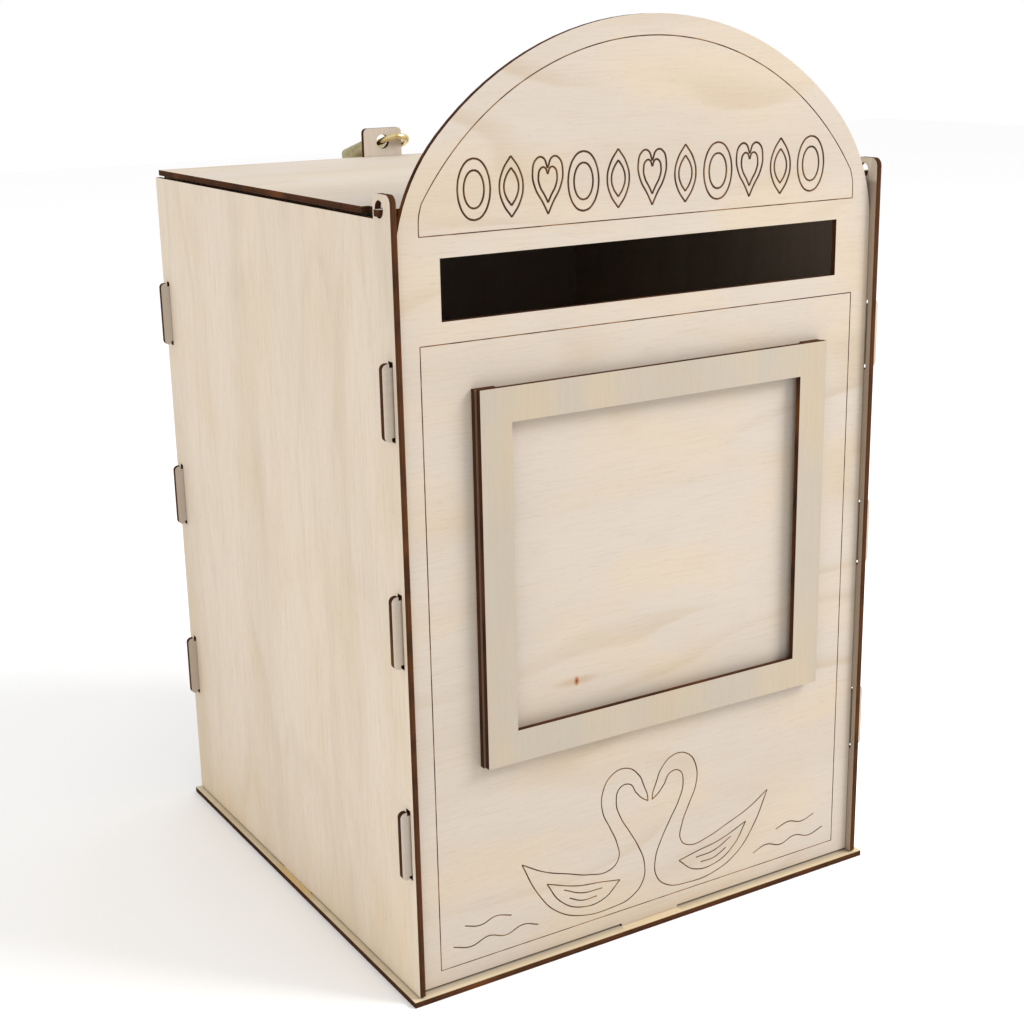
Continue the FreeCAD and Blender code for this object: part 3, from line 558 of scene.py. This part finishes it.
def swan_lines():
    """Two plain swans swimming breast to breast, their necks a heart, with ripples running out to each side.

    Each line is (x, z) points in mm for the right-hand swan; the left one is its mirror image.
    """
    back = [(3, 70), (6.5, 77.5), (13.5, 82.5), (21.5, 81), (26.5, 73.5), (26.5, 64), (22.5, 55), (18.6, 46),
            (17.8, 38), (23, 33.6), (34, 34.6), (46, 38.6), (58, 43), (70, 50)]
    front = [(8, 69), (11.5, 74), (17, 73.5), (19, 67), (16.5, 58.5), (11.5, 50), (6.5, 41), (3.2, 32),
             (3.8, 23), (10, 16.5), (22, 14), (38, 15), (52, 21.5), (62, 33.5), (70, 50)]
    beak_top = [(3, 70), (1.6, 66.5), (1.2, 63)]
    beak_under = [(1.2, 63), (4.5, 65.2), (8, 69)]
    wing_top = [(17, 27), (28, 29), (41, 31), (57, 36.6)]
    wing_under = [(17, 27), (26, 20), (39, 19.6), (50, 26), (57, 36.6)]
    feather_upper = [(27, 25.8), (38, 26.6), (48, 31)]
    feather_lower = [(30, 22.6), (38, 22.8), (45, 26)]
    ripple_near = [(62, 18), (70, 20.4), (79, 18), (88, 20.4), (97, 18), (106, 20.4)]
    ripple_far = [(76, 27), (84, 29), (92, 27), (100, 29)]
    lines = (back, front, beak_top, beak_under, wing_top, wing_under, feather_upper, feather_lower,
             ripple_near, ripple_far)
    return [mirrored for line in lines for mirrored in both_sides(line)]


def border_lines(score):
    """The scored border below the card slot and the arch line above it, as lists of (x, z) in mm."""
    side, top, bottom = score.border_side / MM, score.border_top / MM, score.border_bottom / MM
    lines = [[(-side, level), (0, level), (side, level)] for level in (top, bottom)]
    lines += both_sides([(side, top), (side, (top + bottom) / 2), (side, bottom)])
    reach, base = score.arch_side / MM, score.arch_base / MM
    radius, crown = score.arch_radius / MM, score.arch_top / MM
    lines.append([(-reach, base), (0, base), (reach, base)])
    lean = 1.6
    last = math.asin((reach - lean) / radius)
    join = crown - radius * (1 - math.cos(last))
    lines += both_sides([(reach, base), (reach, base + 4), (reach - 0.3, base + 8), (reach - lean, join)])
    steps = 20
    arch = [(radius * math.sin(last * k / steps), crown - radius * (1 - math.cos(last * k / steps)))
            for k in range(-steps, steps + 1)]
    lines.append(arch)
    return lines


def heart_lines(centre, level, height):
    """A heart of that height, as its two halves."""
    h = height / 2
    half = [(0, -h), (0.20 * h, -0.62 * h), (0.50 * h, -0.12 * h), (0.60 * h, 0.40 * h), (0.44 * h, 0.84 * h),
            (0.20 * h, 0.88 * h), (0, 0.52 * h)]
    return [[(centre + x, level + z) for x, z in side] for side in both_sides(half)]


def leaf_lines(centre, level, height):
    """An upright pointed leaf, as its two sides."""
    h = height / 2
    half = [(0, -h), (0.32 * h, -0.55 * h), (0.46 * h, 0), (0.32 * h, 0.55 * h), (0, h)]
    return [[(centre + x, level + z) for x, z in side] for side in both_sides(half)]


def ring_lines(centre, level, height, squeeze=0.62):
    """An upright oval ring, as its two halves."""
    h = height / 2
    turns = [math.radians(turn) for turn in range(0, 181, 20)]
    half = [(squeeze * h * math.sin(turn), h * math.cos(turn)) for turn in turns]
    return [[(centre + x, level + z) for x, z in side] for side in both_sides(half)]


def ornament_lines(score):
    """The plain row above the card slot: hearts, leaves and rings in turn, each in double outline."""
    lines, inner_outline = [], 0.62
    level, height, pitch = score.ornament_level / MM, score.ornament_height / MM, score.ornament_pitch / MM
    shapes = (heart_lines, leaf_lines, ring_lines)
    for k in range(-score.ornament_count, score.ornament_count + 1):
        shape = shapes[abs(k) % len(shapes)]
        lines += shape(k * pitch, level, height)
        lines += shape(k * pitch, level, height * inner_outline)
    return lines


def cut_scoring(panel, groups, level):
    """Each group of lines, with its half width, is cut out of the panel's face at y = level."""
    tools = bpy.data.collections.new("scoring_tools")
    bpy.context.scene.collection.children.link(tools)
    for lines, half_width in groups:
        for points in lines:
            line = scored_line(points, half_width, level)
            for owner in list(line.users_collection):
                owner.objects.unlink(line)
            tools.objects.link(line)
    pick(panel)
    cut = panel.modifiers.new("scoring", "BOOLEAN")
    cut.operation = "DIFFERENCE"
    cut.operand_type = "COLLECTION"
    cut.collection = tools
    cut.solver = "MANIFOLD"
    bpy.ops.object.modifier_apply(modifier=cut.name)
    for line in list(tools.objects):
        bpy.data.objects.remove(line)
    bpy.data.collections.remove(tools)


# ----------------------------------------------------------------------------------------------- operators


class CARDBOX_OT_front(bpy.types.Operator):
    """Cuts the scored lines into a copy of the front panel"""

    bl_idname = "card_box.front"
    bl_label = "Scored front"
    bl_options = {"REGISTER", "UNDO"}
    fewest_new_faces = 500

    def execute(self, context):
        settings = context.scene.card_box
        score = settings.scoring
        low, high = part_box("front_panel")
        panel = copy_of("front_panel", "scored_front")
        before = len(panel.data.polygons)
        groups = (
            (border_lines(score), score.border_line),
            (swan_lines(), score.swan_line),
            (ornament_lines(score), score.ornament_line),
        )
        cut_scoring(panel, groups, low.y)
        if len(panel.data.polygons) < before + self.fewest_new_faces:
            raise RuntimeError("the scored lines did not cut the front panel")
        faces_at, marks = (low.y, high.y), (knot, end_shadow_and_soot)
        face = settings.plywood.face
        dress(panel, plywood("front_ply", face, faces_at, Y_AXIS, X_AXIS, 0.35, 0.46, 1.0, marks))
        pick(panel)
        bpy.ops.object.shade_smooth_by_angle(angle=math.radians(25))
        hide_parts("front_panel")
        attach(panel, "carcass")
        return {"FINISHED"}


class CARDBOX_OT_panels(bpy.types.Operator):
    """Gives the other plywood pieces their grain, figure and burnt edges"""

    bl_idname = "card_box.panels"
    bl_label = "Plywood panels"
    bl_options = {"REGISTER", "UNDO"}

    def execute(self, context):
        wood = context.scene.card_box.plywood
        side_marks = (front_recess_shade, stained_foot)
        # Node, face colour, axes of thickness and grain, shift and strength of the figure, inner side, marks.
        plan = (
            ("left_side_panel", wood.side_face, X_AXIS, Z_AXIS, 0.9, 0.10, 1.0, side_marks),
            ("right_side_panel", wood.side_face, X_AXIS, Z_AXIS, 1.6, 0.10, -1.0, side_marks),
            ("back_panel", wood.face, Y_AXIS, Z_AXIS, 2.2, 0.2, -1.0, ()),
            ("lid_panel", wood.lid_face, Z_AXIS, X_AXIS, 2.9, 0.2, -1.0, ()),
            ("base_panel", wood.base_face, Z_AXIS, X_AXIS, 3.7, 0.2, 0.0, (shadow_ash_and_stain,)),
            ("photo_frame_ring", wood.frame_face, Y_AXIS, Z_AXIS, 4.4, 0.05, 0.0, ()),
            ("photo_frame_spacer", wood.frame_face, Y_AXIS, Z_AXIS, 5.1, 0.05, 0.0, (browned_rim,)),
        )
        for node, face, axis, grain, shift, figure, inside, marks in plan:
            faces_at = slab(node, axis)
            finish = plywood(node + "_ply", face, faces_at, axis, grain, shift, figure, inside, marks)
            dress(frame["nodes"][node], finish)
        return {"FINISHED"}


def slab(node, axis):
    """The two face planes of a panel: where most of its corners lie along axis."""
    levels = {}
    for corner in frame["nodes"][node].data.vertices:
        level = round(corner.co[axis], 5)
        levels[level] = levels.get(level, 0) + 1
    common = sorted(sorted(levels, key=levels.get)[-2:])
    return common[0], common[1]


class CARDBOX_OT_padlock(bpy.types.Operator):
    """Gives the padlock its brass, plating and steel"""

    bl_idname = "card_box.padlock"
    bl_label = "Padlock"
    bl_options = {"REGISTER", "UNDO"}
    fewest_rim_edges = 20

    def execute(self, context):
        look = context.scene.card_box.padlock
        brass = metal("case_brass", look.brass, look.dark_brass, look.roughness)
        plating = metal("shackle_plating", look.plating, look.dark_brass, 0.16)
        works = metal("works_brass", look.brass, look.dark_brass, 0.35, 0.002)
        steel = metal("spring_steel", look.steel, look.dark_brass, 0.3, 0.002)
        self.case(look, brass)
        self.shackle(plating)
        finishes = {
            "key_plug": works,
            "key_pins": works,
            "driver_pins": works,
            "chamber_plugs": works,
            "locking_bolt": works,
            "pin_springs": steel,
            "shackle_stop_pin": steel,
            "shackle_spring": steel,
        }
        for node, finish in finishes.items():
            dress(frame["nodes"][node], finish)
        return {"FINISHED"}

    def case(self, look, finish):
        """The case, its top and bottom rims rounded."""
        case = copy_of("lock_case", "padlock_case")
        rims = self.rims(look, case)
        weights = case.data.attributes.new("bevel_weight_edge", "FLOAT", "EDGE")
        rounded = 0
        for edge in case.data.edges:
            first, second = edge.vertices
            if rims.get(first, 0) and rims.get(first) == rims.get(second):
                weights.data[edge.index].value = 1.0
                rounded += 1
        if rounded < self.fewest_rim_edges:
            raise RuntimeError("the padlock case has no rims to round")
        pick(case)
        soften = case.modifiers.new("rims", "BEVEL")
        soften.limit_method = "WEIGHT"
        soften.width = look.rim
        soften.segments = 3
        bpy.ops.object.modifier_apply(modifier=soften.name)
        bpy.ops.object.shade_smooth_by_angle(angle=math.radians(35))
        dress(case, finish)
        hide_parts("lock_case")
        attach(case, "lock_case")

    def rims(self, look, case):
        """The corners on the case's outer outline: 1 on its top face, 2 on its bottom face."""
        down = Vector((
            -math.sin(look.turn) * math.cos(look.droop),
            math.cos(look.turn) * math.cos(look.droop),
            -math.sin(look.droop),
        ))
        across = Matrix.Rotation(look.roll, 3, down) @ Vector((math.cos(look.turn), math.sin(look.turn), 0))
        through = down.cross(across)
        rows = [[corner.co.dot(way) for way in (down, across, through)] for corner in case.data.vertices]
        (top, bottom), (left, right), (front, back) = [(min(column), max(column)) for column in zip(*rows)]
        radius = (back - front) / 2
        flat = (right - left) / 2 - radius
        found = {}
        for at, (depth, side, level) in enumerate(rows):
            past = max(abs(side - (left + right) / 2) - flat, 0.0)
            reach = math.hypot(past, level - (front + back) / 2)
            if abs(reach - radius) < 0.1 * MM:
                if depth - top < 0.02 * MM:
                    found[at] = 1
                elif bottom - depth < 0.02 * MM:
                    found[at] = 2
        return found

    def shackle(self, finish):
        """The bent wire, smooth along its length."""
        wire = copy_of("shackle", "padlock_shackle")
        pick(wire)
        bpy.ops.object.shade_smooth_by_angle(angle=math.radians(35))
        dress(wire, finish)
        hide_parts("shackle")
        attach(wire, "shackle")


class CARDBOX_OT_stage(bpy.types.Operator):
    """Lays the pale floor, hangs the soft lights and sets the camera"""

    bl_idname = "card_box.stage"
    bl_label = "Stage"
    bl_options = {"REGISTER", "UNDO"}

    def execute(self, context):
        look = context.scene.card_box.stage
        self.floor(look)
        self.lights(context, look)
        self.camera(context, look)
        context.scene.view_settings.view_transform = "Standard"
        return {"FINISHED"}

    def floor(self, look):
        """A flat, pale floor."""
        bpy.ops.object.select_all(action="DESELECT")
        bpy.ops.mesh.primitive_plane_add(size=look.floor_size, location=(0, 0, 0))
        ground = bpy.context.active_object
        ground.name = "floor"
        paper = Shading("floor_paper")
        mottle = paper.noise((0.4, 0.4, 0.4), detail=2.0)
        colour = paper.mix(paper.ramp(mottle, 0.3, 0.7, 0.0, 0.2), (0.97, 0.97, 0.97), (0.95, 0.95, 0.95))
        dress(ground, paper.finish(colour, 0.9))

    def lights(self, context, look):
        """An even pale sky, and one soft lamp ahead of the box on its right."""
        world = bpy.data.worlds.new("studio")
        world.use_nodes = True
        sky = world.node_tree.nodes["Background"]
        sky.inputs["Color"].default_value = (1.0, 1.0, 1.0, 1.0)
        sky.inputs["Strength"].default_value = look.sky
        context.scene.world = world
        bpy.ops.object.light_add(type="AREA", location=look.softbox_place)
        softbox = bpy.context.active_object
        softbox.name = "softbox"
        softbox.data.shape = "SQUARE"
        softbox.data.size = look.softbox_size
        softbox.data.energy = look.softbox
        aim = Vector(look.softbox_aim) - softbox.location
        softbox.rotation_euler = aim.to_track_quat("-Z", "Y").to_euler()

    def camera(self, context, look):
        """The camera looks along azimuth and elevation from its own place."""
        ahead = Vector((
            math.sin(look.azimuth) * math.cos(look.elevation),
            math.cos(look.azimuth) * math.cos(look.elevation),
            -math.sin(look.elevation),
        ))
        level = Vector((math.cos(look.azimuth), -math.sin(look.azimuth), 0))
        upright = level.cross(ahead)
        right = math.cos(look.roll) * level + math.sin(look.roll) * upright
        up = -math.sin(look.roll) * level + math.cos(look.roll) * upright
        turn = Matrix((right, up, -ahead)).transposed().to_4x4()
        bpy.ops.object.camera_add()
        camera = bpy.context.active_object
        camera.matrix_world = Matrix.Translation(Vector(look.eye)) @ turn
        camera.data.lens = look.lens
        camera.data.sensor_width = SENSOR_WIDTH
        camera.data.clip_start = 0.01
        context.scene.camera = camera


class CARDBOX_PT_sidebar(bpy.types.Panel):
    """The card box's settings and steps"""

    bl_idname = "CARDBOX_PT_sidebar"
    bl_label = "Card Box"
    bl_space_type = "VIEW_3D"
    bl_region_type = "UI"
    bl_category = "Card Box"

    def draw(self, context):
        settings = context.scene.card_box
        for group in ("plywood", "scoring", "padlock", "stage"):
            box = self.layout.box()
            box.label(text=group.capitalize())
            values = getattr(settings, group)
            for key in values.__annotations__:
                box.prop(values, key)
        for step in STEPS:
            self.layout.operator(step.bl_idname)


SETTINGS = (PlywoodSettings, ScoringSettings, PadlockSettings, StageSettings, CardBoxSettings)
STEPS = (CARDBOX_OT_panels, CARDBOX_OT_front, CARDBOX_OT_padlock, CARDBOX_OT_stage)
CLASSES = (*SETTINGS, *STEPS, CARDBOX_PT_sidebar)


def register():
    """Adds the classes and hangs the settings on the scene."""
    for cls in CLASSES:
        bpy.utils.register_class(cls)
    bpy.types.Scene.card_box = PointerProperty(type=CardBoxSettings)


def unregister():
    """Takes the settings and the classes away again."""
    del bpy.types.Scene.card_box
    for cls in reversed(CLASSES):
        bpy.utils.unregister_class(cls)


def main():
    """Runs every step in order."""
    register()
    for step in STEPS:
        area, name = step.bl_idname.split(".")
        getattr(getattr(bpy.ops, area), name)()


if __name__ == "__main__":
    main()
